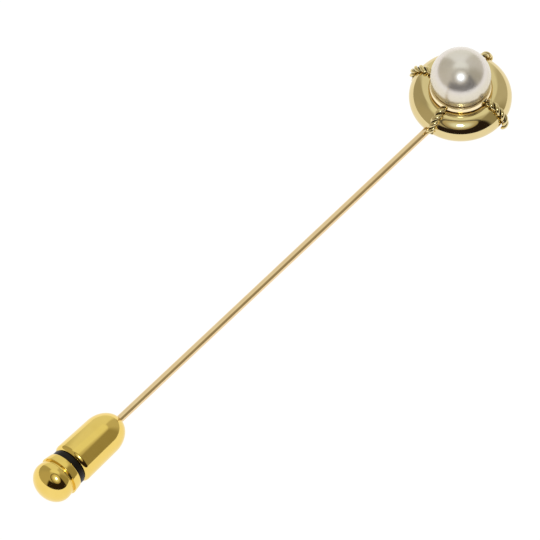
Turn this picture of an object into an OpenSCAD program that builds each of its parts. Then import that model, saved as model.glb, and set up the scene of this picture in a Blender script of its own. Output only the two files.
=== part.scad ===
// Pearl stick pin: a pearl in a ring bound with twisted wire, on a long pin with a ball-lock clutch on its point.
// Millimetres. It lies face up on its flat back: Z runs up out of the pearl, and the pin runs along -X.
// The origin is the middle of the head's flat back.

/* [Pearl] */
// Diameter of the pearl
pearl_d = 6.5; // [6.3:0.05:6.55]
// Height of the pearl's centre above the head's flat back
pearl_z = 4.87; // [4.8:0.01:5.2]
// Diameter of the post that the pearl is glued on
post_d = 0.8; // [0.6:0.05:1]
// How far the post goes up into the pearl
post_depth = 2.4; // [1.5:0.1:3.5]

/* [Ring] */
// Outer radius of the ring
ring_out = 5.48; // [5.4:0.01:5.6]
// Height of the ring's widest place above the flat back
ring_wide_z = 1.27; // [1.2:0.01:1.3]
// Radius of the ring's broad crown, in section
crown_r = 1.94; // [1.9:0.01:2]
// Radius of its tighter outer edge, in section
outer_edge_r = 1.43; // [1.4:0.01:1.5]
// Slope at which the crown turns into the outer edge
crown_from = 28; // [25:1:32]
// Radius of the ring's inner wall
ring_in = 2.54; // [2.5:0.01:2.6]
// Thickness of the ring's sheet
ring_sheet = 0.35; // [0.25:0.05:0.5]
// Thickness of the plate that closes the back
plate_t = 0.25; // [0.15:0.05:0.25]

/* [Cup] */
// Height of the cup's rim above the flat back
rim_z = 3.3; // [3.28:0.01:3.4]
// Radius of the bead along the rim
bead_r = 0.25; // [0.15:0.01:0.28]
// Thickness of the cup's sheet
cup_sheet = 0.17; // [0.1:0.01:0.18]
// Radius of the hub under the cup
hub_r = 0.95; // [0.8:0.05:1.2]

/* [Twisted wire] */
// Width of a twisted pair across its two strands
twist_w = 0.88; // [0.7:0.01:1]
// Height of a wrap over its width, after it has been pressed flat
twist_flat = 0.75; // [0.6:0.01:1]
// Length of one full turn of the twist
twist_pitch = 1.7; // [1.5:0.05:2.2]
// Slope of the ring where a wrap starts, beside the cup
wrap_from = 93; // [90:1:98]
// Slope of the ring where a wrap ends, under its outer edge
wrap_to = -31; // [-33:1:0]
// Slope of the ring where the wrap that meets the pin ends, above the pin
wrap_over_pin = 2; // [1:1:20]

/* [Pin] */
// Diameter of the pin
wire_d = 0.85; // [0.75:0.01:0.9]
// Height of the pin's axis where it crosses the head's axis
wire_z = 0.72; // [0.7:0.01:0.75]
// Distance along the pin from the head's axis to the clutch's nose
clutch_at = 55; // [45:0.1:65]
// Length of the sharpened point
point_l = 2.2; // [1.5:0.1:2.4]
// How far the point goes into the clutch, from its nose
point_in = 8.5; // [7:0.1:8.6]

/* [Clutch body] */
// Largest diameter of the body, at its back
body_d = 4.67; // [4.6:0.01:4.8]
// Diameter of the body behind its rounded nose
nose_d = 4.5; // [4.3:0.01:4.6]
// Length of the rounded nose
nose_l = 2.85; // [2.3:0.01:3]
// Length of the body
body_l = 7.79; // [7.7:0.01:7.9]
// Radius of the rounded edge at the body's back
edge_r = 0.57; // [0.2:0.01:0.6]
// Diameter of the body's chamber
chamber_d = 3.7; // [3.6:0.05:3.8]
// Thickness of the sheet at the nose's tip and of the lip rolled over at the back
lip_t = 0.34; // [0.25:0.01:0.4]
// Thickness of the bush that closes the chamber
bush_t = 0.55; // [0.4:0.05:0.6]

/* [Ball lock] */
// Diameter of a lock ball
ball_d = 0.8; // [0.75:0.01:0.8]
// Distance from the clutch's nose to the balls
ball_at = 3.2; // [3.1:0.05:3.4]
// Growth of the lock cone's radius for each millimetre of its length
cone_rise = 0.2; // [0.15:0.01:0.22]
// Outer diameter of the cage that holds the balls
cage_d = 1.7; // [1.6:0.05:1.75]
// Outer diameter of the stem that joins the cage to the knob
stem_d = 1.8; // [1.75:0.05:1.85]
// Diameter of the flange that the spring pushes on
flange_d = 2.9; // [2.8:0.05:3]
// Diameter of the spring's wire
spring_wire_d = 0.16; // [0.12:0.01:0.16]
// Number of turns in the spring
spring_turns = 4.5; // [3.5:0.5:4.5]

/* [Knob] */
// Gap between the body and the knob, with the knob at rest
knob_gap = 0.74; // [0.71:0.01:1]
// Diameter of the black spacer ring in that gap
spacer_d = 4.2; // [4:0.05:4.3]
// Diameter of the knob's collar at its back
collar_d = 4.69; // [4.6:0.01:4.69]
// Diameter of the collar at its front
collar_front_d = 4.48; // [4.4:0.01:4.6]
// Length of the collar
collar_l = 1.02; // [0.9:0.01:1.2]
// Radius of the rounded front edge of the collar
collar_edge_r = 0.2; // [0.1:0.01:0.3]
// Width of the groove between the collar and the cap
groove_w = 0.28; // [0.1:0.01:0.3]
// Depth of that groove below the cap's widest place
groove_depth = 0.22; // [0.15:0.01:0.22]
// Radius of the cap at its widest
dome_r = 2.305; // [2.28:0.005:2.33]
// Distance from the collar to the cap's widest place
dome_from_collar = 0.95; // [0.8:0.01:1]
// Height of the dome over the cap's widest place
dome_h = 1.85; // [1.7:0.01:2.3]
// Half length of the rounder curve in front of that place
swell_h = 2.27; // [2:0.01:2.5]
// Thickness of the cap's sheet
cap_sheet = 0.35; // [0.3:0.05:0.4]

/* [Hidden] */
$fn = 96;

GOLD = "gold";
PALE_GOLD = "palegoldenrod";
STEEL = "silver";

// Clearances: a glued or soldered seam, a running fit, and a surface that a ball only touches
seam = 0.01;
running = 0.05;
touch = 0.008;

// Section of the ring: centres of its outer edge and of its crown
edge_at = [ring_out - outer_edge_r, ring_wide_z];
crown_at = edge_at - (crown_r - outer_edge_r) * [cos(crown_from), sin(crown_from)];

pearl_r = pearl_d / 2;
post_r = post_d / 2;
wire_r = wire_d / 2;
cup_in_r = pearl_r + seam;
cup_out_r = cup_in_r + cup_sheet;
bead_at = sqrt(pow(pearl_r + seam + bead_r, 2) - pow(pearl_z - rim_z, 2));
hub_top = pearl_z - sqrt(pow(cup_out_r, 2) - pow(hub_r, 2));
post_foot = 1.25;
post_top = pearl_z - pearl_r + post_depth;

// The pin rises just enough for the clutch's widest place to rest on the same level as the head's back
body_r = body_d / 2;
body_wide_at = body_l - edge_r;
pin_tilt = asin((body_r - wire_z) / (clutch_at + body_wide_at));
pin_foot = 0.6;

chamber_r = chamber_d / 2;
lip_hole_r = 1.4;
bush_from = body_l - lip_t - bush_t;
guide_r = 0.5;

ball_r = ball_d / 2;
ball_out = wire_r + ball_r + touch;
cone_r_at_ball = ball_out + touch + ball_r * sqrt(1 + pow(cone_rise, 2));
cone_from = 2;
cone_to = 4.75;
cage_r = cage_d / 2;
cage_from = 1.9;
cage_lip = 0.06;
stem_r = stem_d / 2;
flange_from = 4.9;
flange_to = 5.2;
spring_r = 1.2;
spring_slack = 0.02;

collar_from = body_l + knob_gap;
collar_to = collar_from + collar_l;
collar_r = collar_d / 2;
spacer_slack = 0.03;
spigot_r = dome_r - cap_sheet - seam;
spigot_to = collar_to + 0.6;
dome_at = collar_to + dome_from_collar;
stem_to = spigot_to + 0.2;

// Radius of the lock cone at a distance t from the clutch's nose
function cone_r(t) = cone_r_at_ball + cone_rise * (t - ball_at);

// Carries a shape drawn along +Z onto the pin: its Z is then the distance from the head's axis
module on_pin() {
    translate([0, 0, wire_z]) rotate([0, pin_tilt - 90, 0]) children();
}

// The same, measured from the clutch's nose
module on_clutch() {
    on_pin() translate([0, 0, clutch_at]) children();
}

// A closed tube through a list of rings, each a loop of the same number of points
module tube(rings) {
    sides = len(rings[0]);
    last = len(rings) - 1;
    polyhedron(
        points = [for (ring = rings) each ring],
        faces = [
            [for (i = [0:sides - 1]) i],
            [for (i = [sides - 1:-1:0]) last * sides + i],
            for (r = [0:last - 1], i = [0:sides - 1])
                let (a = r * sides + i, b = r * sides + (i + 1) % sides)
                    each [[a, a + sides, b + sides], [a, b + sides, b]]
        ],
        convexity = 6
    );
}

// Section of the ring, set in by the thickness of its sheet for the hollow inside it. Its inner edge is
// cut to the cup that sits in it.
module ring_outline(inset = 0) {
    wall = ring_in + inset;
    reach = 2 * crown_r;
    difference() {
        union() {
            translate(crown_at) circle(r = crown_r - inset);
            translate([wall, 0]) square([edge_at.x - wall, ring_wide_z]);
        }
        translate(crown_at) rotate(crown_from - 90) square(reach);
        translate([0, -reach]) square([wall, 2 * reach]);
        translate([0, pearl_z]) circle(r = cup_out_r + seam + inset);
    }
    translate(edge_at) intersection() {
        circle(r = outer_edge_r - inset);
        translate([-outer_edge_r / 2, -reach]) square(2 * reach);
    }
}

// The ring is hollow and open below, and its back plate closes it
module ring_shell() {
    color(GOLD) difference() {
        rotate_extrude() difference() {
            ring_outline();
            ring_outline(ring_sheet);
            translate([0, plate_t - 2 * crown_r]) square([2 * ring_out, 2 * crown_r]);
        }
        on_pin() translate([0, 0, hub_r + seam]) cylinder(r = wire_r + seam, h = ring_out);
    }
}

module back_plate() {
    color(GOLD) rotate_extrude() intersection() {
        union() {
            translate(edge_at) circle(r = outer_edge_r);
            square([edge_at.x + outer_edge_r / 4, ring_wide_z]);
        }
        square([2 * ring_out, plate_t]);
    }
}

// The cup follows the pearl up to a beaded rim
module pearl_cup() {
    color(GOLD) difference() {
        rotate_extrude() union() {
            intersection() {
                translate([0, pearl_z]) difference() {
                    circle(r = cup_out_r);
                    circle(r = cup_in_r);
                }
                square([2 * pearl_r, rim_z]);
            }
            translate([bead_at, rim_z]) circle(r = bead_r);
        }
        cylinder(r = post_r, h = pearl_z);
    }
}

// The hub carries the cup and grips the pin's foot and the post's foot
module cup_hub() {
    color(GOLD) difference() {
        translate([0, 0, plate_t]) cylinder(r = hub_r, h = hub_top - plate_t);
        translate([0, 0, pearl_z]) sphere(r = cup_out_r);
        translate([0, 0, post_foot]) cylinder(r = post_r, h = pearl_z);
        on_pin() translate([0, 0, -pin_foot - seam]) cylinder(r = wire_r + seam, h = ring_out);
    }
}

module pearl_post() {
    color(GOLD) translate([0, 0, post_foot]) cylinder(r = post_r, h = post_top - post_foot);
}

module pearl() {
    color("ivory") difference() {
        translate([0, 0, pearl_z]) sphere(r = pearl_r);
        cylinder(r = post_r + seam, h = post_top + seam);
    }
}

// One strand of a twisted pair, bent over the ring. Along the wrap, s is the length run from its start:
// first over the crown, then round the outer edge. x is across the wrap and y is off the ring, before
// the pair is pressed flat.
strand_r = twist_w / 4;
strand_out = strand_r + seam / 2;
wrap_h = seam + twist_flat * twist_w / 2;
crown_l = (crown_r + wrap_h) * (wrap_from - crown_from) * PI / 180;
function wrap_l(end) = crown_l + (outer_edge_r + wrap_h) * (crown_from - end) * PI / 180;
twist_per_mm = 2 * PI * strand_out / twist_pitch;
twist_long = sqrt(1 + pow(twist_per_mm, 2));
strand_steps = 44;
strand_sides = 8;

function wrap_point(x, y, s) =
    let (
        on_crown = s < crown_l,
        middle = on_crown ? crown_at : edge_at,
        r = (on_crown ? crown_r : outer_edge_r) + wrap_h,
        a = on_crown ? wrap_from - s / r * 180 / PI : crown_from - (s - crown_l) / r * 180 / PI,
        off = r + twist_flat * y
    )
        [middle.x + off * cos(a), x, middle.y + off * sin(a)];

// Turn of each wrap about the head's axis, away from +X, and how far it leans round on its way outwards
wrap_turn = [9, 100.5, 187.4, 275.3];
wrap_lean = [0, 0, -2.2, 0];
wrap_end = [wrap_to, wrap_to, wrap_over_pin, wrap_to];

function leaning(p, lean) = [p.x * cos(lean) - p.y * sin(lean), p.x * sin(lean) + p.y * cos(lean), p.z];

function strand_ring(s, phase, lean) =
    let (turn = phase + 360 * s / twist_pitch)
        [for (i = [0:strand_sides - 1])
            let (
                a = 360 * i / strand_sides,
                out = strand_out + strand_r * cos(a),
                side = strand_r * sin(a) / twist_long,
                bent = wrap_point(
                    out * cos(turn) - side * sin(turn),
                    out * sin(turn) + side * cos(turn),
                    s - side * twist_per_mm
                )
            )
                leaning(bent, lean)];

module strand(wrap, phase) {
    i = wrap - 1;
    long = wrap_l(wrap_end[i]);
    color(PALE_GOLD) rotate([0, 0, wrap_turn[i]])
        tube([for (k = [0:strand_steps])
            let (done = k / strand_steps)
                strand_ring(long * done, phase, wrap_lean[i] * (done - 0.5))
        ]);
}

// The pin runs from the hub, out through the ring's wall, to its point inside the clutch
module pin_wire() {
    shank_to = clutch_at + point_in - point_l;
    color(PALE_GOLD) on_pin() union() {
        translate([0, 0, -pin_foot]) cylinder(r = wire_r, h = pin_foot + shank_to);
        translate([0, 0, shank_to]) cylinder(r1 = wire_r, r2 = wire_r / 6, h = point_l);
    }
}

// The clutch's body: a drawn shell with a rounded nose, a slow taper and a lip rolled over at the back
module body_outline() {
    difference() {
        union() {
            intersection() {
                translate([0, nose_l]) scale([nose_d / 2, nose_l]) circle(r = 1);
                square([body_d, nose_l]);
            }
            polygon([[0, nose_l], [nose_d / 2, nose_l], [body_r, body_wide_at], [0, body_wide_at]]);
            translate([0, body_wide_at]) square([body_r - edge_r, edge_r]);
            translate([body_r - edge_r, body_wide_at]) intersection() {
                circle(r = edge_r);
                square(edge_r);
            }
        }
    }
}

module clutch_body() {
    nose_in = nose_l - lip_t;
    color(GOLD) on_clutch() rotate_extrude() difference() {
        body_outline();
        translate([0, nose_l]) square([chamber_r, body_l - lip_t - nose_l]);
        intersection() {
            translate([0, nose_l]) scale([chamber_r, nose_in]) circle(r = 1);
            square([body_d, nose_l]);
        }
        square([guide_r, nose_l]);
        polygon([[0, 0], [guide_r + 0.25, 0], [guide_r, 0.3], [0, 0.3]]);
        translate([0, body_wide_at]) square([lip_hole_r, body_l]);
    }
}

// The sleeve inside the nose whose cone squeezes the balls onto the pin
module lock_cone() {
    front_edge = 0.15;
    color("goldenrod") on_clutch() rotate_extrude() polygon([
        [cone_r(cone_from), cone_from],
        [chamber_r - front_edge, cone_from],
        [chamber_r - seam, nose_l],
        [chamber_r - seam, cone_to],
        [cone_r(cone_to), cone_to]
    ]);
}

module rear_bush() {
    color("goldenrod") on_clutch() translate([0, 0, bush_from]) difference() {
        cylinder(r = chamber_r, h = bush_t);
        translate([0, 0, -bush_t]) cylinder(r = stem_r + running, h = 3 * bush_t);
    }
}

// The cage, its flange and the stem are one turned piece with the pin's hole down its middle
module ball_cage() {
    color("goldenrod") on_clutch() difference() {
        union() {
            translate([0, 0, cage_from]) cylinder(r = cage_r, h = flange_from - cage_from);
            translate([0, 0, flange_from]) cylinder(r = flange_d / 2, h = flange_to - flange_from);
            translate([0, 0, flange_to]) cylinder(r = stem_r, h = stem_to - flange_to);
        }
        cylinder(r = guide_r, h = stem_to + 1);
        for (i = [1:3]) ball_way(i) {
            cylinder(r = ball_r * 0.75, h = cage_r);
            translate([0, 0, guide_r + cage_lip]) cylinder(r = ball_r + 0.02, h = cage_r);
        }
    }
}

// Turns +Z into the way that a ball moves out from the pin, at the balls' distance from the nose
module ball_way(i) {
    translate([0, 0, ball_at]) rotate([0, 0, 120 * (i - 1)]) rotate([0, 90, 0]) children();
}

module lock_ball(i) {
    color(STEEL) on_clutch() ball_way(i) translate([0, 0, ball_out]) sphere(r = ball_r);
}

// A compression spring between the cage's flange and the bush
module lock_spring() {
    wire = spring_wire_d / 2;
    from = flange_to + spring_slack + wire;
    long = bush_from - spring_slack - wire - from;
    steps = 18 * spring_turns;
    color(STEEL) on_clutch() tube([for (k = [0:steps])
        let (turn = -360 * spring_turns * k / steps)
            [for (i = [0:7]) let (a = 45 * i) [
                (spring_r + wire * cos(a)) * cos(turn),
                (spring_r + wire * cos(a)) * sin(turn),
                from + long * k / steps + wire * sin(a)
            ]]
    ]);
}

// The collar narrows towards its rounded front edge, and has a spigot that the domed cap is pressed over
module knob_collar() {
    front_r = collar_front_d / 2;
    round_at = front_r - collar_edge_r;
    color(GOLD) on_clutch() difference() {
        rotate_extrude() union() {
            translate([0, collar_from]) square([round_at, collar_edge_r]);
            translate([round_at, collar_from + collar_edge_r]) intersection() {
                circle(r = collar_edge_r);
                translate([0, -collar_edge_r]) square(collar_edge_r);
            }
            polygon([
                [0, collar_from + collar_edge_r], [front_r, collar_from + collar_edge_r],
                [collar_r, collar_to], [0, collar_to]
            ]);
            translate([0, collar_to]) square([spigot_r, spigot_to - collar_to]);
        }
        cylinder(r = stem_r, h = spigot_to + 1);
    }
}

// A black spacer ring on the stem fills the gap between the body and the knob
module spacer_ring() {
    edge = 0.1;
    color("black") on_clutch() rotate_extrude() polygon([
        [stem_r + seam, collar_from - knob_gap + spacer_slack],
        [spacer_d / 2 - edge, collar_from - knob_gap + spacer_slack],
        [spacer_d / 2, collar_from - knob_gap + spacer_slack + edge],
        [spacer_d / 2, collar_from],
        [stem_r + seam, collar_from]
    ]);
}

// The cap swells from its groove to its widest place, and closes in a slightly flattened dome
module knob_cap() {
    shoulder_at = collar_to + groove_w;
    inside_r = dome_r - cap_sheet;
    color(GOLD) on_clutch() rotate_extrude() difference() {
        union() {
            translate([0, collar_to]) square([dome_r - groove_depth, dome_at - collar_to]);
            intersection() {
                translate([0, dome_at]) scale([dome_r, swell_h]) circle(r = 1);
                translate([0, shoulder_at]) square([dome_r, dome_at - shoulder_at]);
            }
            intersection() {
                translate([0, dome_at]) scale([dome_r, dome_h]) circle(r = 1);
                translate([0, dome_at]) square([dome_r, dome_h]);
            }
        }
        square([inside_r, dome_at]);
        translate([0, dome_at]) scale([inside_r, dome_h - cap_sheet]) circle(r = 1);
    }
}

ring_shell();
back_plate();
pearl_cup();
cup_hub();
pearl_post();
pearl();
strand(1, 0);  // wrap_1_strand_a
strand(1, 180);  // wrap_1_strand_b
strand(2, 0);  // wrap_2_strand_a
strand(2, 180);  // wrap_2_strand_b
strand(3, 0);  // wrap_3_strand_a
strand(3, 180);  // wrap_3_strand_b
strand(4, 0);  // wrap_4_strand_a
strand(4, 180);  // wrap_4_strand_b
pin_wire();
clutch_body();
lock_cone();
rear_bush();
ball_cage();
knob_collar();
knob_cap();
spacer_ring();
lock_ball(1);  // lock_ball_1
lock_ball(2);  // lock_ball_2
lock_ball(3);  // lock_ball_3
lock_spring();
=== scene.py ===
import math

import bmesh
import bpy
import numpy as np
from mathutils import Matrix, Vector


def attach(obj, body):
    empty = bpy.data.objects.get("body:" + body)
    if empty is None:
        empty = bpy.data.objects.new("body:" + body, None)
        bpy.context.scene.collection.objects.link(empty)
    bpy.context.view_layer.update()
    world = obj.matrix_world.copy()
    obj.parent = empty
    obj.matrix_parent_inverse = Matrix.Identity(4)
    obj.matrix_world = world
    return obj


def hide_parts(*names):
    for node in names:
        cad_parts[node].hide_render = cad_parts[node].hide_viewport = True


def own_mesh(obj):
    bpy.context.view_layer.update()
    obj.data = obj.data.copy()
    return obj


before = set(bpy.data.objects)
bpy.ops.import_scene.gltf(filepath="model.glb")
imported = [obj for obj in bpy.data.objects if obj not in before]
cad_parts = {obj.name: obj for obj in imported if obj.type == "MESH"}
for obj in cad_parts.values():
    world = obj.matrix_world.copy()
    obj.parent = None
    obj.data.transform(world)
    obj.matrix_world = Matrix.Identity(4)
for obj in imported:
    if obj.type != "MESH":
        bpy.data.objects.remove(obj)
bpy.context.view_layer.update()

# The looks of a pearl stick pin. Each visible CAD node gets a finely made piece of the same size, and
# the light is a tent round the object. Sizes are in millimetres, and MM makes metres.

MM = 0.001

# Clearances: a glued or soldered seam, and the seam shown as a fine groove
SEAM = 0.01
FINE_EDGE = 0.03

# Pearl and its post
PEARL_R = 3.25
PEARL_Z = 4.87
POST_R = 0.4
POST_IN_PEARL = 2.4
POST_TOP = PEARL_Z - PEARL_R + POST_IN_PEARL

# Section of the ring: a broad crown and a tighter outer edge, cut on the inside to the cup's seat
RING_OUT = 5.48
RING_WIDE_Z = 1.27
CROWN_R = 1.94
OUTER_EDGE_R = 1.43
CROWN_FROM = 28
RING_IN = 2.54
RING_SHEET = 0.35
PLATE_T = 0.25
PIN_PASSAGE_TO = 7

# Cup, with a bead whose outer face is burnished nearly flat. The face looks up by BEAD_FACE_AT degrees,
# reaches BEAD_FACE_HALF degrees to both sides on the round bead, and bulges by its own radius.
RIM_Z = 3.3
BEAD_R = 0.25
BEAD_FACE_AT = 23
BEAD_FACE_HALF = 41
BEAD_FACE_R = 1.6
CUP_SHEET = 0.17
CUP_IN_R = PEARL_R + SEAM
CUP_OUT_R = CUP_IN_R + CUP_SHEET
HUB_R = 0.95

# Twisted wire: each wrap's turn about the head's axis, how far it leans round on its way outwards, and
# the angles on the ring's section where it starts and ends
WRAP_TURN = (9, 100.5, 187.4, 275.3)
WRAP_LEAN = (0, 0, -2.2, 0)
TWIST_W = 0.88
TWIST_FLAT = 0.75
TWIST_PITCH = 1.7
WRAP_FROM = 93
WRAP_TO = -31
WRAP_OVER_PIN = 2
WRAP_END = (WRAP_TO, WRAP_TO, WRAP_OVER_PIN, WRAP_TO)
STRAND_SIDES = 20
STRAND_STEPS = 200
END_STEPS = 6

# Pin
WIRE_R = 0.425
WIRE_Z = 0.72
CLUTCH_AT = 55.0
POINT_L = 2.2
POINT_IN = 8.5
POINT_EASE = 0.2
POINT_EASE_R = 0.99 * WIRE_R
TIP_R = WIRE_R / 6
PIN_FOOT = 0.6

# Clutch body
BODY_R = 2.335
NOSE_R = 2.25
NOSE_L = 2.85
BODY_L = 7.79
EDGE_R = 0.57
CHAMBER_R = 1.85
LIP_T = 0.34
LIP_HOLE_R = 1.4
LIP_EASE = 0.06
BUSH_T = 0.55
GUIDE_R = 0.5
MOUTH_R = GUIDE_R + 0.25
MOUTH_DEPTH = 0.3
BODY_WIDE_AT = BODY_L - EDGE_R
BUSH_FROM = BODY_L - LIP_T - BUSH_T

# Ball lock
FLANGE_TO = 5.2
STEM_R = 0.9
SPRING_R = 1.2
SPRING_WIRE_R = 0.08
SPRING_TURNS = 4.5
SPRING_SLACK = 0.02
SPRING_SIDES = 12
SPRING_STEPS = 48

# Knob
KNOB_GAP = 0.74
COLLAR_L = 1.02
COLLAR_FROM = BODY_L + KNOB_GAP
COLLAR_TO = COLLAR_FROM + COLLAR_L
COLLAR_R = 2.345
COLLAR_FRONT_R = 2.24
COLLAR_EDGE_R = 0.2
COLLAR_RIM_R = 0.05
SPACER_R = 2.1
SPACER_SLACK = 0.03
DOME_R = 2.305
DOME_H = 1.85
SWELL_H = 2.27
CAP_SHEET = 0.35
GROOVE_W = 0.28
GROOVE_DEPTH = 0.22
DOME_FOOT = 0.95
DOME_AT = COLLAR_TO + DOME_FOOT
SPIGOT_L = 0.6
SPIGOT_R = DOME_R - CAP_SHEET - SEAM
SPIGOT_TO = COLLAR_TO + SPIGOT_L

# The pin rises a little towards its point, so that the clutch rests on the same level as the head
PIN_TILT = math.asin((BODY_R - WIRE_Z) / (CLUTCH_AT + BODY_WIDE_AT))
ON_HEAD = Matrix.Identity(4)
ON_PIN = Matrix.Translation((0, 0, WIRE_Z * MM)) @ Matrix.Rotation(PIN_TILT - math.pi / 2, 4, "Y")
ON_CLUTCH = ON_PIN @ Matrix.Translation((0, 0, CLUTCH_AT * MM))

# Fineness of the meshes, and the most of an edge that one eased corner takes
TURN_STEPS = 256
PEARL_STEPS = 320
PIN_STEPS = 96
BORE_STEPS = 48
EASE_STEPS = 6
EASE_MOST = 0.45
ON_AXIS = 1e-6
SHARP = math.radians(32)


# ---------------------------------------------------------------- outlines

def smooth(low, high, value):
    """A soft step from 0 at low to 1 at high."""
    t = min(1, max(0, (value - low) / (high - low)))
    return t * t * (3 - 2 * t)


def polar(centre, radius, degrees):
    """The point at that angle on a circle."""
    a = math.radians(degrees)
    return (centre[0] + radius * math.cos(a), centre[1] + radius * math.sin(a))


def arc(centre, radius, start, end, step=4):
    """Points of an arc, in order, with one about every step degrees."""
    count = max(2, round(abs(end - start) / step))
    return [polar(centre, radius, start + (end - start) * i / count) for i in range(count + 1)]


def eased(*corners):
    """An outline through (radius, height, easing) corners, each rounded off by its easing."""
    points = []
    count = len(corners)
    for i, (x, y, easing) in enumerate(corners):
        here = Vector((x, y))
        before = Vector(corners[i - 1][:2]) - here
        after = Vector(corners[(i + 1) % count][:2]) - here
        if easing == 0 or before.length == 0 or after.length == 0:
            points.append((x, y))
            continue
        reach = min(easing, EASE_MOST * before.length, EASE_MOST * after.length)
        first = here + reach * before.normalized()
        last = here + reach * after.normalized()
        for k in range(EASE_STEPS + 1):
            t = k / EASE_STEPS
            bend = (1 - t) ** 2 * first + 2 * t * (1 - t) * here + t**2 * last
            points.append((bend.x, bend.y))
    return points


EDGE_AT = (RING_OUT - OUTER_EDGE_R, RING_WIDE_Z)
CROWN_AT = polar(EDGE_AT, OUTER_EDGE_R - CROWN_R, CROWN_FROM)
CUP_AT = (0, PEARL_Z)


def ring_skin(inset):
    """The ring's section from its inner wall over the crown to the back plate, set in by inset."""
    wall = RING_IN + inset
    crown = CROWN_R - inset
    seat = CUP_OUT_R + SEAM + inset
    apart = Vector(CUP_AT) - Vector(CROWN_AT)
    bearing = math.degrees(math.atan2(apart.y, apart.x))
    opens = math.acos((apart.length_squared + crown**2 - seat**2) / (2 * apart.length * crown))
    meets = bearing - math.degrees(opens)
    x, y = polar(CROWN_AT, crown, meets)
    seat_to = math.degrees(math.atan2(y - PEARL_Z, x))
    seat_from = -math.degrees(math.acos(wall / seat))
    foot = math.degrees(math.asin((PLATE_T - EDGE_AT[1]) / (OUTER_EDGE_R - inset)))
    return [
        (wall, PLATE_T),
        *arc(CUP_AT, seat, seat_from, seat_to),
        *arc(CROWN_AT, crown, meets, CROWN_FROM)[1:],
        *arc(EDGE_AT, OUTER_EDGE_R - inset, CROWN_FROM, foot)[1:],
    ]


# ---------------------------------------------------------------- meshes

def new_piece(name, points, faces, place=ON_HEAD):
    """A smooth-shaded mesh object from points in millimetres, standing at place."""
    mesh = bpy.data.meshes.new(name)
    mesh.from_pydata([Vector(p) * MM for p in points], [], faces)
    work = bmesh.new()
    work.from_mesh(mesh)
    bmesh.ops.recalc_face_normals(work, faces=work.faces)
    work.to_mesh(mesh)
    work.free()
    mesh.shade_smooth()
    mesh.set_sharp_from_angle(angle=SHARP)
    piece = bpy.data.objects.new(name, mesh)
    piece.matrix_world = place
    bpy.context.scene.collection.objects.link(piece)
    return piece


def lathe(name, outline, place=ON_HEAD, steps=TURN_STEPS):
    """Turns an outline of (radius, height) points about Z into a closed solid."""
    points = []
    rings = []
    for radius, height in outline:
        if radius < ON_AXIS:
            rings.append([len(points)] * steps)
            points.append((0, 0, height))
            continue
        rings.append(range(len(points), len(points) + steps))
        for k in range(steps):
            x, y = polar((0, 0), radius, 360 * k / steps)
            points.append((x, y, height))
    faces = []
    on_axis = [ring[0] == ring[-1] for ring in rings]
    for i in range(len(rings)):
        j = (i + 1) % len(rings)
        if on_axis[i] and on_axis[j]:
            continue
        for k in range(steps):
            n = (k + 1) % steps
            corners = [rings[i][k], rings[i][n], rings[j][n], rings[j][k]]
            faces.append(list(dict.fromkeys(corners)))
    return new_piece(name, points, faces, place)


def tube(name, rings, place=ON_HEAD):
    """A closed tube through a list of rings of points."""
    sides = len(rings[0])
    last = (len(rings) - 1) * sides
    points = [p for ring in rings for p in ring]
    faces = [list(range(sides)), list(range(last, last + sides))]
    for r in range(len(rings) - 1):
        for i in range(sides):
            a = r * sides + i
            b = r * sides + (i + 1) % sides
            faces.append([a, b, b + sides, a + sides])
    return new_piece(name, points, faces, place)


def cut(piece, tool):
    """Takes tool's shape away from piece, and removes tool."""
    work = piece.modifiers.new("cut", "BOOLEAN")
    work.object = tool
    work.solver = "EXACT"
    bpy.context.view_layer.update()
    graph = bpy.context.evaluated_depsgraph_get()
    done = bpy.data.meshes.new_from_object(piece.evaluated_get(graph))
    piece.modifiers.remove(work)
    piece.data = done
    done.name = piece.name
    done.shade_smooth()
    done.set_sharp_from_angle(angle=SHARP)
    bpy.data.objects.remove(tool)


def even_shading(piece):
    """Large faces keep their own normals next to narrow rounded edges."""
    weighted = piece.modifiers.new("even_shading", "WEIGHTED_NORMAL")
    weighted.keep_sharp = True


# ---------------------------------------------------------------- materials

def principled(name, colour, metallic=1.0, roughness=0.1):
    """A material with its Principled node set to plain values."""
    made = bpy.data.materials.new(name)
    made.use_nodes = True
    shader = made.node_tree.nodes["Principled BSDF"]
    shader.inputs["Base Color"].default_value = (*colour, 1)
    shader.inputs["Metallic"].default_value = metallic
    shader.inputs["Roughness"].default_value = roughness
    return made


def node(made, kind, **inputs):
    """Adds a node, and sets its inputs by name."""
    new = made.node_tree.nodes.new(kind)
    for name, value in inputs.items():
        new.inputs[name.replace("_", " ")].default_value = value
    return new


def link(made, source, target):
    made.node_tree.links.new(source, target)


# The range that most of a noise lies in, and the sizes of the metals' waves and grain
NOISE_LOW = 0.3
NOISE_HIGH = 0.7
WAVE_SIZE = 1.4
GRAIN_SIZE = 0.05
NO_STRETCH = (1, 1, 1)


def stretched_noise(made, feature, stretch=NO_STRETCH, detail=3.0):
    """Noise with features of that many millimetres, drawn out along axes where stretch is below 1."""
    place = node(made, "ShaderNodeTexCoord")
    scaled = node(made, "ShaderNodeMapping", Scale=stretch)
    noise = node(made, "ShaderNodeTexNoise", Scale=1 / (feature * MM), Detail=detail)
    link(made, place.outputs["Object"], scaled.inputs["Vector"])
    link(made, scaled.outputs["Vector"], noise.inputs["Vector"])
    return noise.outputs["Fac"]


def spread(made, source, low, high):
    """Maps the middle of a noise's range onto low to high."""
    span = node(made, "ShaderNodeMapRange", To_Min=low, To_Max=high)
    span.inputs["From Min"].default_value = NOISE_LOW
    span.inputs["From Max"].default_value = NOISE_HIGH
    link(made, source, span.inputs["Value"])
    return span.outputs["Result"]


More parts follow.
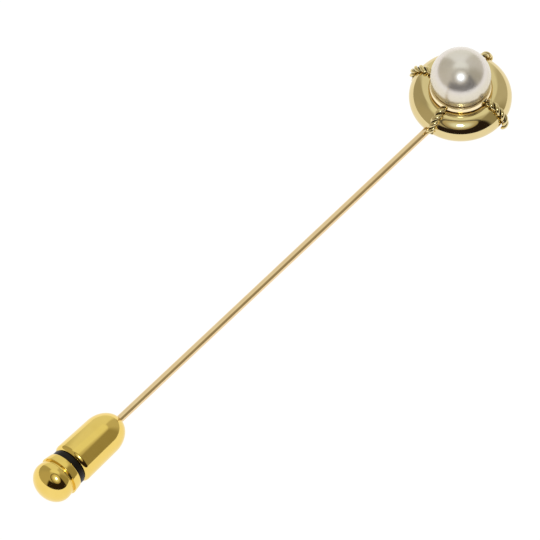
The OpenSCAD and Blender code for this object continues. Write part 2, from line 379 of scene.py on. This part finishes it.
def rise(made, low, high):
    """Rises from 0 at height low to 1 at height high."""
    place = node(made, "ShaderNodeTexCoord")
    parts = node(made, "ShaderNodeSeparateXYZ")
    span = node(made, "ShaderNodeMapRange", From_Min=low * MM, From_Max=high * MM)
    span.interpolation_type = "SMOOTHSTEP"
    link(made, place.outputs["Object"], parts.inputs["Vector"])
    link(made, parts.outputs["Z"], span.inputs["Value"])
    return span.outputs["Result"]


def mix(made, share, one, other, kind="MIX"):
    """A colour mixed from two: each argument is a plain value or another node's output."""
    mixer = made.node_tree.nodes.new("ShaderNodeMix")
    mixer.data_type = "RGBA"
    mixer.blend_type = kind
    for name, value in (("Factor", share), ("A", one), ("B", other)):
        if isinstance(value, bpy.types.NodeSocket):
            link(made, value, mixer.inputs[name])
        elif name == "Factor":
            mixer.inputs[name].default_value = value
        else:
            mixer.inputs[name].default_value = (*value, 1)
    return mixer.outputs["Result"]


def tint(made, source, one, other):
    """Base colour between two colours, by a noise."""
    shader = made.node_tree.nodes["Principled BSDF"]
    link(made, mix(made, spread(made, source, 0, 1), one, other), shader.inputs["Base Color"])


def bump(made, layers):
    """Bump from (height source, height in millimetres) layers, one on another."""
    normal = None
    for source, height in layers:
        step = node(made, "ShaderNodeBump", Strength=1.0, Distance=height * MM)
        link(made, source, step.inputs["Height"])
        if normal:
            link(made, normal, step.inputs["Normal"])
        normal = step.outputs["Normal"]
    link(made, normal, made.node_tree.nodes["Principled BSDF"].inputs["Normal"])


def metal(name, one, other, roughness, wave=0.0, grain=0.0, stretch=NO_STRETCH):
    """Worked metal: two close tones, uneven gloss, a faint waviness and a stretched grain."""
    made = principled(name, one)
    shader = made.node_tree.nodes["Principled BSDF"]
    broad = stretched_noise(made, WAVE_SIZE)
    fine = stretched_noise(made, GRAIN_SIZE, stretch, detail=4.0)
    tint(made, broad, one, other)
    link(made, spread(made, fine, *roughness), shader.inputs["Roughness"])
    layers = []
    if wave:
        layers.append((broad, wave))
    if grain:
        layers.append((fine, grain))
    if layers:
        bump(made, layers)
    return made


# Nacre's colours, and the heights over which a painted warm light on its lower part fades into the rosy
# skin
NACRE_MEAN = (0.78, 0.74, 0.69)
NACRE_FACE = (0.92, 0.88, 0.895)
NACRE_RIM = (0.66, 0.575, 0.42)
NACRE_CLOUD = (0.84, 0.755, 0.74)
NACRE_FOOT_LIGHT = (0.965, 0.955, 0.84)
NACRE_FOOT_FROM = PEARL_Z + 0.2 * PEARL_R
NACRE_FOOT_TO = PEARL_Z + 0.6 * PEARL_R
NACRE_CLOUD_SIZE = 2.2
NACRE_GRAIN_SIZE = 0.12
WHITE = (1, 1, 1)


def pearl_nacre():
    """Nacre: part soft mirror, part body colour, greener towards the rim, with a painted warm light on
    its lower part.
    """
    made = principled("pearl_nacre", NACRE_MEAN, metallic=0.7, roughness=0.2)
    shader = made.node_tree.nodes["Principled BSDF"]
    cloud = stretched_noise(made, NACRE_CLOUD_SIZE)
    grain = stretched_noise(made, NACRE_GRAIN_SIZE)
    facing = node(made, "ShaderNodeLayerWeight", Blend=0.6)
    body = mix(made, facing.outputs["Facing"], NACRE_FACE, NACRE_RIM)
    veiled = mix(made, spread(made, cloud, 0, 0.5), body, NACRE_CLOUD)
    # Painted warm light: the pearl's lower part is tinted warmer and a little darker than its top
    foot = mix(made, rise(made, NACRE_FOOT_FROM, NACRE_FOOT_TO), NACRE_FOOT_LIGHT, WHITE)
    link(made, mix(made, 1, veiled, foot, "MULTIPLY"), shader.inputs["Base Color"])
    link(made, spread(made, grain, 0.21, 0.27), shader.inputs["Roughness"])
    bump(made, [(cloud, 0.004), (grain, 0.0002)])
    shader.inputs["Coat Weight"].default_value = 1.0
    shader.inputs["Coat Roughness"].default_value = 0.3
    shader.inputs["Coat IOR"].default_value = 1.6
    return made


RING_GOLD = (0.76, 0.62, 0.32)
RING_GOLD_DEEP = (0.73, 0.59, 0.29)
CLUTCH_GOLD = (0.87, 0.64, 0.18)
CLUTCH_GOLD_DEEP = (0.84, 0.61, 0.16)
# The cup's gold: its own colour made paler than the ring's gold, as a painted highlight on the bead
HIGHLIT_GOLD = (0.99, 0.83, 0.54)
HIGHLIT_GOLD_DEEP = (0.96, 0.79, 0.49)
ROSE_GOLD = (0.86, 0.66, 0.40)
ROSE_GOLD_DEEP = (0.82, 0.61, 0.36)
BRASS = (0.80, 0.60, 0.28)
BRASS_DEEP = (0.70, 0.50, 0.22)
STEEL = (0.60, 0.61, 0.63)
STEEL_DEEP = (0.50, 0.51, 0.53)

# A grain drawn along the axis, and one turned round it
ALONG_Z = (1, 1, 0.03)
ROUND_Z = (0.05, 0.05, 1)

ring_gold = metal("ring_gold", RING_GOLD, RING_GOLD_DEEP, (0.04, 0.08), wave=0.002)
# Painted highlight: the cup's paler gold brightens its bead
cup_gold_highlit = metal("cup_gold_highlit", HIGHLIT_GOLD, HIGHLIT_GOLD_DEEP, (0.06, 0.1), grain=0.0002)
twist_gold = metal("twist_gold", RING_GOLD, RING_GOLD_DEEP, (0.05, 0.12), grain=0.0004)
clutch_gold = metal(
    "clutch_gold", CLUTCH_GOLD, CLUTCH_GOLD_DEEP, (0.05, 0.1), wave=0.001, grain=0.0002, stretch=ROUND_Z
)
pin_gold = metal("pin_gold", ROSE_GOLD, ROSE_GOLD_DEEP, (0.05, 0.1), grain=0.0006, stretch=ALONG_Z)
turned_brass = metal("turned_brass", BRASS, BRASS_DEEP, (0.15, 0.28), grain=0.0015, stretch=ROUND_Z)
ball_steel = metal("ball_steel", STEEL, STEEL_DEEP, (0.05, 0.1))
spring_steel = metal("spring_steel", STEEL, STEEL_DEEP, (0.2, 0.32), grain=0.0006)
nacre = pearl_nacre()


def darken_creases(made):
    """Multiplies the base colour by the mesh's crease shade, which is dark deep between two strands."""
    shader = made.node_tree.nodes["Principled BSDF"]
    crease = node(made, "ShaderNodeAttribute")
    crease.attribute_name = "crease"
    plain = shader.inputs["Base Color"].links[0].from_socket
    shaded = mix(made, 1, plain, crease.outputs["Color"], "MULTIPLY")
    link(made, shaded, shader.inputs["Base Color"])


darken_creases(twist_gold)


NYLON_MEAN = (0.006, 0.005, 0.004)
NYLON_BLACK = (0.005, 0.003, 0.002)
NYLON_WORN = (0.011, 0.006, 0.004)
NYLON_GRAIN_SIZE = 0.06


def black_nylon():
    """Moulded black nylon with a slight gloss."""
    made = principled("black_nylon", NYLON_MEAN, metallic=0.0, roughness=0.35)
    shader = made.node_tree.nodes["Principled BSDF"]
    fine = stretched_noise(made, NYLON_GRAIN_SIZE)
    tint(made, fine, NYLON_BLACK, NYLON_WORN)
    link(made, spread(made, fine, 0.3, 0.45), shader.inputs["Roughness"])
    shader.inputs["Specular IOR Level"].default_value = 0.2
    bump(made, [(fine, 0.001)])
    return made


nylon = black_nylon()


def finish_piece(piece, made, slot, body, *replaced):
    """Gives a piece its material and body, and hides the CAD nodes it stands for. The slot argument is
    not used.
    """
    piece.data.materials.clear()
    piece.data.materials.append(made)
    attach(piece, body)
    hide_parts(*replaced)


# ---------------------------------------------------------------- head

def make_ring():
    outline = ring_skin(0) + ring_skin(RING_SHEET)[::-1]
    ring = lathe("ring_skin", outline)
    hole_r = WIRE_R + SEAM
    bore = [(0, HUB_R), (hole_r, HUB_R), (hole_r, PIN_PASSAGE_TO), (0, PIN_PASSAGE_TO)]
    cut(ring, lathe("passage", bore, ON_PIN, BORE_STEPS))
    finish_piece(ring, ring_gold, "polished_gold", "root", "ring_shell")


def make_back_plate():
    low = math.degrees(math.asin(-EDGE_AT[1] / OUTER_EDGE_R))
    high = math.degrees(math.asin((PLATE_T - FINE_EDGE - EDGE_AT[1]) / OUTER_EDGE_R))
    rim = arc(EDGE_AT, OUTER_EDGE_R, low, high, step=2)
    top = (rim[-1][0] - FINE_EDGE, PLATE_T)
    plate = lathe("back_disc", [(0, 0), *rim, top, (0, PLATE_T)])
    finish_piece(plate, ring_gold, "polished_gold", "root", "back_plate")


def make_cup():
    centre = (0, PEARL_Z)
    away = CUP_IN_R + BEAD_R
    bead_x = math.sqrt(away**2 - (PEARL_Z - RIM_Z) ** 2)
    bead = (bead_x, RIM_Z)
    down = math.degrees(math.atan2(RIM_Z - PEARL_Z, bead_x))
    open_cos = (away**2 + BEAD_R**2 - CUP_OUT_R**2) / (2 * away * BEAD_R)
    touching = 180 + down
    leaves = touching + math.degrees(math.acos(open_cos)) - 360
    outer_end = polar(bead, BEAD_R, leaves)
    outer_from = math.degrees(math.atan2(outer_end[1] - PEARL_Z, outer_end[0]))
    hole_in = -math.degrees(math.acos(POST_R / CUP_IN_R))
    hole_out = -math.degrees(math.acos(POST_R / CUP_OUT_R))
    half = math.radians(BEAD_FACE_HALF)
    half_swing = math.asin(BEAD_R * math.sin(half) / BEAD_FACE_R)
    swing = math.degrees(half_swing)
    depth = BEAD_R * math.cos(half) - BEAD_FACE_R * math.cos(half_swing)
    face_at = polar(bead, depth, BEAD_FACE_AT)
    outline = [
        *arc(centre, CUP_IN_R, hole_in, down, step=2),
        *arc(bead, BEAD_R, touching, BEAD_FACE_AT + BEAD_FACE_HALF, step=8)[1:-1],
        *arc(face_at, BEAD_FACE_R, BEAD_FACE_AT + swing, BEAD_FACE_AT - swing, step=2),
        *arc(bead, BEAD_R, BEAD_FACE_AT - BEAD_FACE_HALF, leaves, step=8)[1:],
        *arc(centre, CUP_OUT_R, outer_from, hole_out, step=2)[1:],
    ]
    cup = lathe("beaded_cup", outline)
    even_shading(cup)
    finish_piece(cup, cup_gold_highlit, "polished_gold", "root", "pearl_cup")


def make_pearl():
    centre = (0, PEARL_Z)
    hole_r = POST_R + SEAM
    start = -math.degrees(math.acos(hole_r / PEARL_R))
    hole_top = POST_TOP + SEAM
    skin = arc(centre, PEARL_R, start, 90, step=1.5)
    skin[-1] = (0, PEARL_Z + PEARL_R)
    pearl = lathe("round_pearl", [(0, hole_top), (hole_r, hole_top), *skin], steps=PEARL_STEPS)
    finish_piece(pearl, nacre, "pearl", "root", "pearl")


# A strand runs over the crown first and then round the outer edge. s is the length from its start,
# x is across the wrap, and y is off the ring before the pair is pressed flat.
STRAND_R = TWIST_W / 4
STRAND_OUT = STRAND_R + SEAM / 2
WRAP_H = SEAM + TWIST_FLAT * TWIST_W / 2
CROWN_L = (CROWN_R + WRAP_H) * math.radians(WRAP_FROM - CROWN_FROM)
TWIST_PER_MM = 2 * math.pi * STRAND_OUT / TWIST_PITCH
TWIST_LONG = math.hypot(1, TWIST_PER_MM)

# A strand is rounded off over ROUND_END, down to the root of END_LEAST of its width
ROUND_END = 0.1
END_LEAST = 0.04

# A crease's shade, and where on a strand it starts and ends: -1 faces the other strand, 1 faces away
CREASE_SHADE = 0.01
CREASE_FROM = -0.55
CREASE_TO = 0.35


def wrap_point(x, y, s, lean):
    """Where a point of a wrap lies on the ring, for a wrap along +X that has leaned round by lean."""
    if s < CROWN_L:
        middle, radius = CROWN_AT, CROWN_R + WRAP_H
        angle = WRAP_FROM - math.degrees(s / radius)
    else:
        middle, radius = EDGE_AT, OUTER_EDGE_R + WRAP_H
        angle = CROWN_FROM - math.degrees((s - CROWN_L) / radius)
    out, up = polar(middle, radius + TWIST_FLAT * y, angle)
    return Matrix.Rotation(math.radians(lean), 3, "Z") @ Vector((out, x, up))


def strand_ring(s, phase, long, lean):
    """One ring of a strand, which is smaller near either end."""
    turn = math.radians(phase + 360 * s / TWIST_PITCH)
    near_end = min(s, long - s, ROUND_END) / ROUND_END
    size = STRAND_R * math.sqrt(max(END_LEAST, 1 - (1 - near_end) ** 2))
    ring = []
    for i in range(STRAND_SIDES):
        a = 2 * math.pi * i / STRAND_SIDES
        out = STRAND_OUT + size * math.cos(a)
        side = size * math.sin(a) / TWIST_LONG
        x = out * math.cos(turn) - side * math.sin(turn)
        y = out * math.sin(turn) + side * math.cos(turn)
        ring.append(wrap_point(x, y, s - side * TWIST_PER_MM, lean * (s / long - 0.5)))
    return ring


def shade_creases(strand):
    """Paints a strand's crease shade: dark on the side that faces the other strand."""
    shade = strand.data.color_attributes.new("crease", "FLOAT_COLOR", "POINT")
    colours = np.ones((len(strand.data.vertices), 4), np.float32)
    for i in range(STRAND_SIDES):
        outward = math.cos(2 * math.pi * i / STRAND_SIDES)
        lit = smooth(CREASE_FROM, CREASE_TO, outward)
        colours[i::STRAND_SIDES, :3] = CREASE_SHADE + (1 - CREASE_SHADE) * lit
    shade.data.foreach_set("color", colours.ravel())


def make_wraps():
    ends = [ROUND_END * k / END_STEPS for k in range(END_STEPS)]
    for wrap, (turn, lean, end) in enumerate(zip(WRAP_TURN, WRAP_LEAN, WRAP_END), 1):
        long = CROWN_L + (OUTER_EDGE_R + WRAP_H) * math.radians(CROWN_FROM - end)
        plain = long - 2 * ROUND_END
        middle = [ROUND_END + plain * k / STRAND_STEPS for k in range(STRAND_STEPS + 1)]
        stations = ends + middle + [long - s for s in reversed(ends)]
        turned = Matrix.Rotation(math.radians(turn), 4, "Z")
        for letter, phase in (("a", 0), ("b", 180)):
            rings = [strand_ring(s, phase, long, lean) for s in stations]
            strand = tube(f"twist_{wrap}_{letter}", rings, turned)
            shade_creases(strand)
            finish_piece(strand, twist_gold, "twisted_gold", "root", f"wrap_{wrap}_strand_{letter}")


# ---------------------------------------------------------------- pin and clutch

def make_pin():
    tip = CLUTCH_AT + POINT_IN
    shank_to = tip - POINT_L
    outline = [
        (0, -PIN_FOOT),
        (WIRE_R, -PIN_FOOT),
        (WIRE_R, shank_to - POINT_EASE),
        (POINT_EASE_R, shank_to),
        (TIP_R, tip - TIP_R / 2),
        *[polar((0, tip - TIP_R), TIP_R, a) for a in (45, 70)],
        (0, tip),
    ]
    pin = lathe("pin_shank", outline, ON_PIN, PIN_STEPS)
    even_shading(pin)
    finish_piece(pin, pin_gold, "pin_gold", "root", "pin_wire")


def ellipse(half_w, half_h, height, start, end, count=30):
    """Points of an ellipse about (0, height)."""
    points = []
    for k in range(count + 1):
        a = math.radians(start + (end - start) * k / count)
        points.append((half_w * math.cos(a), height + half_h * math.sin(a)))
    return points


def make_clutch_body():
    nose_in = NOSE_L - LIP_T
    mouth_at = -math.degrees(math.acos(MOUTH_R / NOSE_R))
    throat_at = -math.degrees(math.acos(GUIDE_R / CHAMBER_R))
    outer = ellipse(NOSE_R, NOSE_L, NOSE_L, mouth_at, 0, count=60)
    inner = ellipse(CHAMBER_R, nose_in, NOSE_L, 0, throat_at)
    chamber_top = BODY_L - LIP_T
    outline = [
        (GUIDE_R, MOUTH_DEPTH),
        *outer,
        *arc((BODY_R - EDGE_R, BODY_WIDE_AT), EDGE_R, 2, 90, step=6),
        *eased(
            (LIP_HOLE_R, BODY_L, LIP_EASE),
            (LIP_HOLE_R, chamber_top, 0),
            (CHAMBER_R, chamber_top, 0),
        ),
        *inner,
    ]
    body = lathe("clutch_shell", outline, ON_CLUTCH)
    even_shading(body)
    finish_piece(body, clutch_gold, "polished_gold", "barrel", "clutch_body")


def make_collar():
    front_at = (COLLAR_FRONT_R - COLLAR_EDGE_R, COLLAR_FROM + COLLAR_EDGE_R)
    rim_at = (COLLAR_R - COLLAR_RIM_R, COLLAR_TO - COLLAR_RIM_R)
    outline = [
        (STEM_R, COLLAR_FROM),
        *arc(front_at, COLLAR_EDGE_R, -90, 0, step=9),
        *arc(rim_at, COLLAR_RIM_R, 0, 90, step=18),
        (SPIGOT_R, COLLAR_TO),
        (SPIGOT_R, SPIGOT_TO),
        (STEM_R, SPIGOT_TO),
    ]
    collar = lathe("collar_turned", outline, ON_CLUTCH)
    even_shading(collar)
    finish_piece(collar, clutch_gold, "polished_gold", "plunger", "knob_collar")


def make_cap():
    neck = DOME_R - GROOVE_DEPTH
    shoulder_at = COLLAR_TO + GROOVE_W
    inside_r = DOME_R - CAP_SHEET
    swell_from = -math.degrees(math.asin((DOME_AT - shoulder_at) / SWELL_H))
    outer = [
        *ellipse(DOME_R, SWELL_H, DOME_AT, swell_from, 0, count=12),
        *ellipse(DOME_R, DOME_H, DOME_AT, 0, 90, count=45)[1:-1],
        (0, DOME_AT + DOME_H),
    ]
    inner = [
        (0, DOME_AT + DOME_H - CAP_SHEET),
        *ellipse(inside_r, DOME_H - CAP_SHEET, DOME_AT, 90, 0)[1:],
    ]
    shoulder_r = outer[0][0]
    foot = [
        (inside_r, COLLAR_TO),
        (neck, COLLAR_TO),
        (neck, shoulder_at - FINE_EDGE),
        (neck + FINE_EDGE, shoulder_at),
        (shoulder_r - FINE_EDGE, shoulder_at),
    ]
    outer[0] = (shoulder_r, shoulder_at + FINE_EDGE)
    cap = lathe("domed_cap", foot + outer + inner, ON_CLUTCH)
    even_shading(cap)
    finish_piece(cap, clutch_gold, "polished_gold", "plunger", "knob_cap")


def make_spacer():
    spacer_from = BODY_L + SPACER_SLACK
    outline = eased(
        (STEM_R + SEAM, spacer_from, 0),
        (SPACER_R, spacer_from, 0.1),
        (SPACER_R, COLLAR_FROM, 0.02),
        (STEM_R + SEAM, COLLAR_FROM, 0),
    )
    spacer = lathe("nylon_spacer", outline, ON_CLUTCH)
    even_shading(spacer)
    finish_piece(spacer, nylon, "black_nylon", "plunger", "spacer_ring")


def make_spring():
    first = FLANGE_TO + SPRING_SLACK + SPRING_WIRE_R
    length = BUSH_FROM - SPRING_SLACK - SPRING_WIRE_R - first
    steps = round(SPRING_STEPS * SPRING_TURNS)
    rings = []
    for k in range(steps + 1):
        turn = -2 * math.pi * SPRING_TURNS * k / steps
        ring = []
        for i in range(SPRING_SIDES):
            a = 2 * math.pi * i / SPRING_SIDES
            out = SPRING_R + SPRING_WIRE_R * math.cos(a)
            up = first + length * k / steps + SPRING_WIRE_R * math.sin(a)
            ring.append((out * math.cos(turn), out * math.sin(turn), up))
        rings.append(ring)
    spring = tube("coil_spring", rings, ON_CLUTCH)
    finish_piece(spring, spring_steel, "spring_steel", "spring", "lock_spring")
    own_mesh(spring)


make_ring()
make_back_plate()
make_cup()
make_pearl()
make_wraps()
make_pin()
make_clutch_body()
make_collar()
make_cap()
make_spacer()
make_spring()

# The inner nodes keep their CAD shapes
KEPT = {
    "cup_hub": ring_gold,
    "pearl_post": pin_gold,
    "lock_cone": turned_brass,
    "rear_bush": turned_brass,
    "ball_cage": turned_brass,
    "lock_ball_1": ball_steel,
    "lock_ball_2": ball_steel,
    "lock_ball_3": ball_steel,
}
for name, made in KEPT.items():
    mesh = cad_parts[name].data
    mesh.materials.clear()
    mesh.materials.append(made)


# ---------------------------------------------------------------- studio

# The camera's angles and distance (degrees, metres), the width it takes in, and where it aims: right
# of and above the middle of the head's base, in the picture's plane (millimetres)
VIEW_AZIMUTH = -49.1
VIEW_ELEVATION = 56.3
VIEW_DISTANCE = 2.0
SENSOR_WIDTH = 36
FRAME_WIDTH = 57.26
AIM_RIGHT = -20.19
AIM_UP = -18.45
AIM_HEIGHT = 1.35


def from_angles(azimuth, elevation):
    """The way from the object towards a camera at those angles, in degrees."""
    a, e = math.radians(azimuth), math.radians(elevation)
    return Vector((math.sin(a) * math.cos(e), -math.cos(a) * math.cos(e), math.sin(e)))


def make_camera():
    back = from_angles(VIEW_AZIMUTH, VIEW_ELEVATION)
    right = Vector((0, 0, 1)).cross(back).normalized()
    up = back.cross(right)
    aim = MM * (Vector((0, 0, AIM_HEIGHT)) + AIM_RIGHT * right + AIM_UP * up)
    data = bpy.data.cameras.new("camera")
    data.sensor_width = SENSOR_WIDTH
    data.lens = SENSOR_WIDTH * VIEW_DISTANCE / (FRAME_WIDTH * MM)
    data.clip_end = 2 * VIEW_DISTANCE
    camera = bpy.data.objects.new("camera", data)
    turn = Matrix((right, up, back)).transposed()
    camera.matrix_world = Matrix.Translation(aim + VIEW_DISTANCE * back) @ turn.to_4x4()
    bpy.context.scene.collection.objects.link(camera)
    bpy.context.scene.camera = camera


# Sizes in metres, angles in degrees, radiances where the room's white is 1
TENT_R = 0.35
TENT_DETAIL = 7
TENT_GAIN = 1.19
LAMP_R = 0.3
LAMP_HALF_ANGLE = 5
LAMP_RADIANCE = 14.5
LAMP_COLOUR = (0.88, 1.0, 1.05)
TABLE_R = 0.98 * TENT_R
TABLE_GREY = (0.12, 0.12, 0.12)
TABLE_GLOW = 0.97
ROOM_GLOW = 1.05

# Radiance of the tent's parts, and where one blends into the next. Bearings run from the camera's side
# of the object, and heights are angles above the table. Each half has its own side, back and opening.
BACK_WALL = (0.70, 0.715, 0.65)
TOP = (0.50, 0.48, 0.38)
TOP_BACK = (0.74, 0.76, 0.66)
OPENING = (0.02, 0.013, 0.011)
SIDE_TO_BACK = (86, 118)
TOP_TO_BACK = (80, 120)
WALL_TO_TOP = (57, 66)
RIGHT_HALF = {
    "side": (0.29, 0.265, 0.18),
    "back": (0.48, 0.465, 0.39),
    "to_wall": (147, 161),
    "opening_edge": (54, 62),
    "opening_top": (50, 62),
}
LEFT_HALF = {
    "side": (0.43, 0.40, 0.30),
    "back": (0.38, 0.36, 0.28),
    "to_wall": (139, 150),
    "opening_edge": (42, 50),
    "opening_top": (26, 34),
}

# A round card about the camera's axis, with a glow round the lamp and a dark seam outside its edge
CARD_LOW = (0.347, 0.285, 0.175)
CARD_HIGH = (0.55, 0.50, 0.34)
CARD_RISE = (30, 80)
CARD_EDGE = (25, 27)
CARD_GLOW = (0.78, 0.86, 0.86)
GLOW_FADE = (8, 24)
SEAM_START = (26, 27)
SEAM_STOP = (30, 32)
SEAM_DEPTH = 0.8


def blend(one, other, share):
    return Vector(one).lerp(Vector(other), share)


def tent_colour(way):
    """Radiance of the tent in a direction from the object."""
    forward = from_angles(VIEW_AZIMUTH, 0)
    right = Vector((0, 0, 1)).cross(forward)
    height = math.degrees(math.asin(max(-1, min(1, way.z))))
    bearing = math.degrees(math.atan2(way.dot(right), way.dot(forward)))
    half = RIGHT_HALF if bearing > 0 else LEFT_HALF
    turned = abs(bearing)
    side = blend(half["side"], half["back"], smooth(*SIDE_TO_BACK, turned))
    wall = blend(side, BACK_WALL, smooth(*half["to_wall"], turned))
    top = blend(TOP, TOP_BACK, smooth(*TOP_TO_BACK, turned))
    colour = blend(wall, top, smooth(*WALL_TO_TOP, height))
    opening = 1 - smooth(*half["opening_edge"], turned)
    opening *= 1 - smooth(*half["opening_top"], height)
    colour = blend(colour, OPENING, opening)
    off_axis = math.degrees(way.angle(from_angles(VIEW_AZIMUTH, VIEW_ELEVATION)))
    seam = smooth(*SEAM_START, off_axis) * (1 - smooth(*SEAM_STOP, off_axis))
    colour = blend(colour, OPENING, SEAM_DEPTH * seam)
    card = blend(CARD_LOW, CARD_HIGH, smooth(*CARD_RISE, height))
    card = blend(card, CARD_GLOW, 1 - smooth(*GLOW_FADE, off_axis))
    return blend(colour, card, 1 - smooth(*CARD_EDGE, off_axis))


def make_tent():
    """A dome of light round the object. It isn't seen by the camera, only in reflections."""
    work = bmesh.new()
    bmesh.ops.create_icosphere(work, subdivisions=TENT_DETAIL, radius=TENT_R)
    mesh = bpy.data.meshes.new("light_tent")
    work.to_mesh(mesh)
    work.free()
    paint = mesh.color_attributes.new("light", "FLOAT_COLOR", "POINT")
    colours = np.ones((len(mesh.vertices), 4), np.float32)
    for i, vertex in enumerate(mesh.vertices):
        colours[i, :3] = TENT_GAIN * tent_colour(vertex.co.normalized())
    paint.data.foreach_set("color", colours.ravel())
    made = bpy.data.materials.new("tent_cloth")
    made.use_nodes = True
    made.node_tree.nodes.clear()
    made.cycles.emission_sampling = "NONE"
    source = node(made, "ShaderNodeAttribute")
    source.attribute_name = "light"
    glow = node(made, "ShaderNodeEmission", Strength=1.0)
    out = node(made, "ShaderNodeOutputMaterial")
    link(made, source.outputs["Color"], glow.inputs["Color"])
    link(made, glow.outputs["Emission"], out.inputs["Surface"])
    mesh.materials.append(made)
    tent = bpy.data.objects.new("light_tent", mesh)
    bpy.context.scene.collection.objects.link(tent)
    tent.visible_camera = False
    tent.visible_shadow = False


def make_lamp():
    """A small round lamp on the camera's axis."""
    back = from_angles(VIEW_AZIMUTH, VIEW_ELEVATION)
    radius = LAMP_R * math.tan(math.radians(LAMP_HALF_ANGLE))
    data = bpy.data.lights.new("camera_lamp", "AREA")
    data.shape = "DISK"
    data.size = 2 * radius
    data.color = LAMP_COLOUR
    data.energy = LAMP_RADIANCE * math.pi * math.pi * radius**2
    lamp = bpy.data.objects.new("camera_lamp", data)
    lamp.location = LAMP_R * back
    lamp.rotation_euler = back.to_track_quat("Z", "Y").to_euler()
    lamp.visible_camera = False
    bpy.context.scene.collection.objects.link(lamp)


def make_floor():
    """A lit white table top."""
    work = bmesh.new()
    bmesh.ops.create_circle(work, cap_ends=True, segments=96, radius=TABLE_R)
    mesh = bpy.data.meshes.new("table_top")
    work.to_mesh(mesh)
    work.free()
    made = principled("white_table", TABLE_GREY, metallic=0.0, roughness=0.9)
    shader = made.node_tree.nodes["Principled BSDF"]
    shader.inputs["Emission Color"].default_value = (*WHITE, 1)
    shader.inputs["Emission Strength"].default_value = TABLE_GLOW
    shader.inputs["Specular IOR Level"].default_value = 0.0
    made.cycles.emission_sampling = "NONE"
    mesh.materials.append(made)
    floor = bpy.data.objects.new("table_top", mesh)
    bpy.context.scene.collection.objects.link(floor)


def make_world():
    scene = bpy.context.scene
    scene.view_settings.view_transform = "Standard"
    scene.world = bpy.data.worlds.new("white_room")
    scene.world.use_nodes = True
    background = scene.world.node_tree.nodes["Background"]
    background.inputs["Color"].default_value = (*WHITE, 1)
    background.inputs["Strength"].default_value = ROOM_GLOW


make_camera()
make_tent()
make_lamp()
make_floor()
make_world()
